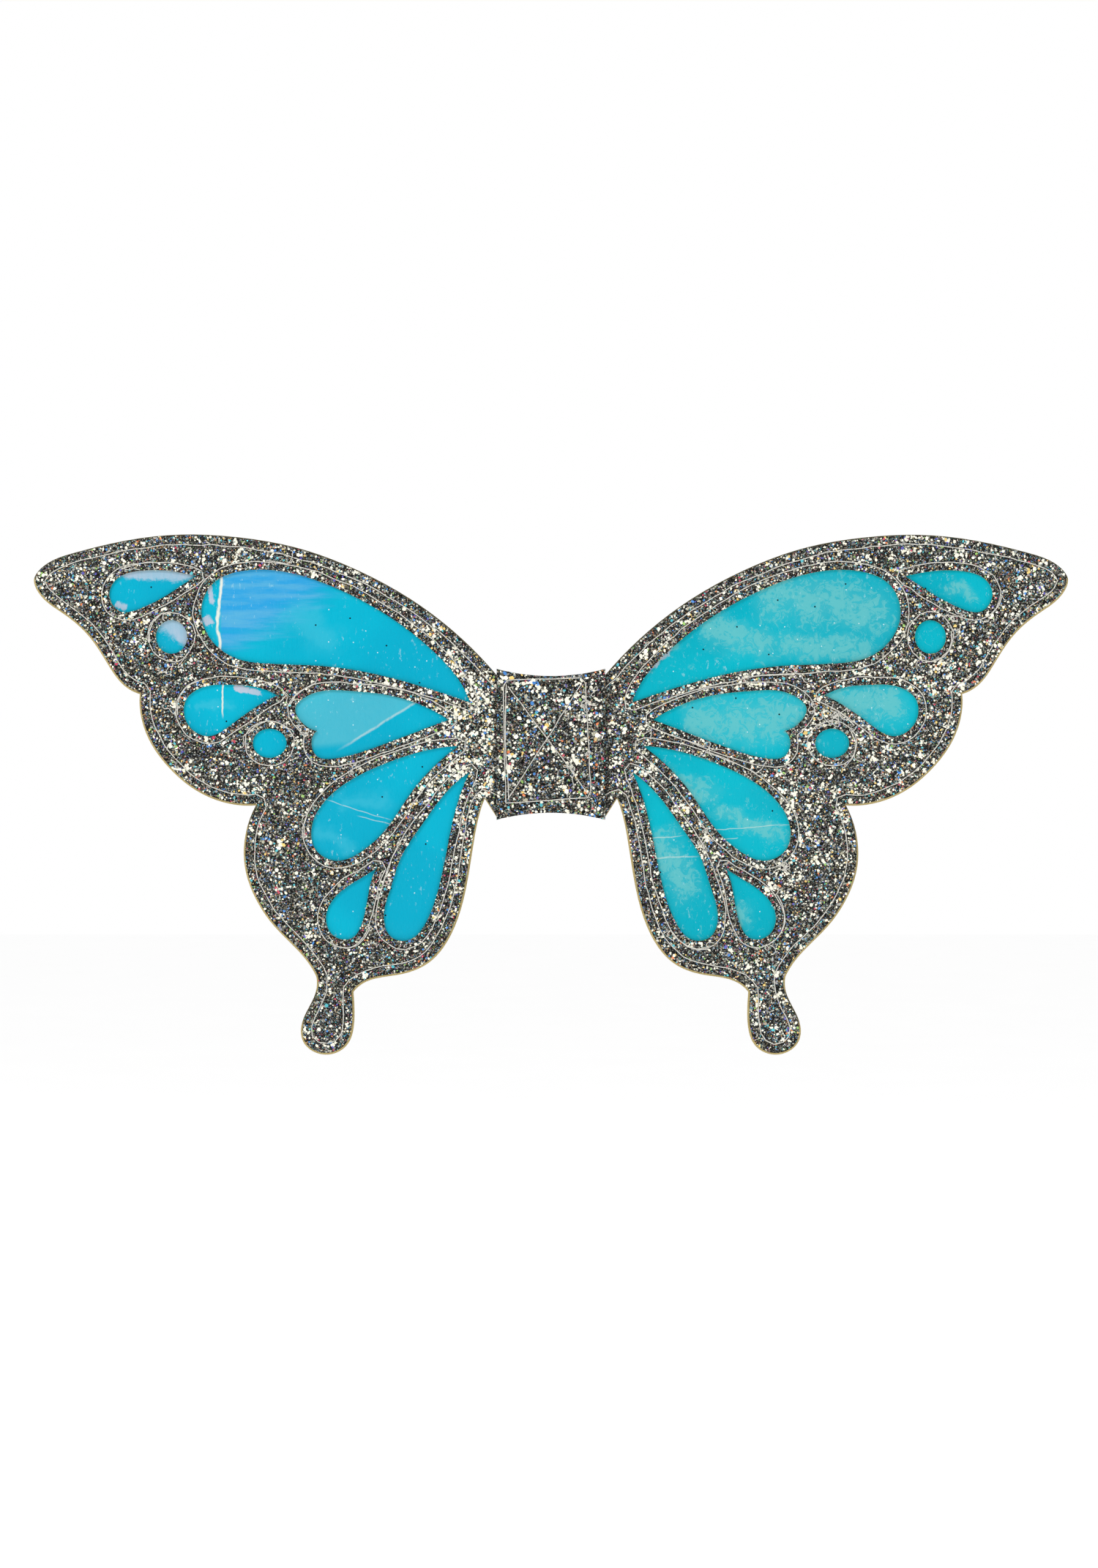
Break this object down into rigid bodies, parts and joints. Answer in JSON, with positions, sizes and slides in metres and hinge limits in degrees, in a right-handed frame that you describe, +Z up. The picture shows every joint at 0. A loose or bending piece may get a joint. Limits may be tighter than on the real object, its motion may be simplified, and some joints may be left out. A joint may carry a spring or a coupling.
{
  "type": "fairy wings",
  "caption": "Flat butterfly-shaped costume wings in glitter fabric with iridescent film windows, sewn to a centre panel with a hook-tape patch; both wings fold.",
  "frame": {"origin": "centre of the hook patch on the back of the centre panel, on the tips of its hooks", "axes": "+X across the wings, towards the wearer's right; +Y out of the patch, towards the wearer's back; +Z up as worn; the decorated front faces -Y"},
  "size_m": [0.381, 0.0063, 0.1916],
  "materials": {
    "glitter_fabric": "chunky holographic glitter, silver on charcoal",
    "film": "iridescent cyan film, glossy, lightly creased",
    "stiffener": "tan felt, raw edge",
    "thread": "off-white sewing thread",
    "hook_tape": "woven tape, black",
    "hooks": "field of small moulded hooks"
  },
  "bodies": {
    "panel": {"panel_front": "glitter_fabric", "panel_back": "glitter_fabric", "hook_tape": "hook_tape", "hook_pile": "hooks", "box_stitch": "thread", "cross_stitch": "thread", "left_root": "glitter_fabric", "right_root": "glitter_fabric"},
    "left_wing": {"left_core": "stiffener", "left_front_film": "film", "left_back_film": "film", "left_front_skin": "glitter_fabric", "left_back_skin": "glitter_fabric", "left_edge_seam": "thread", "left_tip_drop_seam": "thread", "left_main_pane_seam": "thread", "left_upper_dot_seam": "thread", "left_middle_drop_seam": "thread", "left_heart_seam": "thread", "left_lower_dot_seam": "thread", "left_teardrop_seam": "thread", "left_long_pane_seam": "thread", "left_small_drop_seam": "thread"},
    "right_wing": {"right_core": "stiffener", "right_front_film": "film", "right_back_film": "film", "right_front_skin": "glitter_fabric", "right_back_skin": "glitter_fabric", "right_edge_seam": "thread", "right_tip_drop_seam": "thread", "right_main_pane_seam": "thread", "right_upper_dot_seam": "thread", "right_middle_drop_seam": "thread", "right_heart_seam": "thread", "right_lower_dot_seam": "thread", "right_teardrop_seam": "thread", "right_long_pane_seam": "thread", "right_small_drop_seam": "thread"}
  },
  "joints": [
    {"name": "left_wing_fold", "type": "hinge", "parent": "panel", "child": "left_wing", "pos_m": [-0.0218, -0.0038, 0], "axis": [0, 0, -1], "range_deg": [-90, 90], "stiffness_Nm_per_rad": 0.02},
    {"name": "right_wing_fold", "type": "hinge", "parent": "panel", "child": "right_wing", "pos_m": [0.0218, -0.0038, 0], "axis": [0, 0, 1], "range_deg": [-90, 90], "stiffness_Nm_per_rad": 0.02}
  ]
}
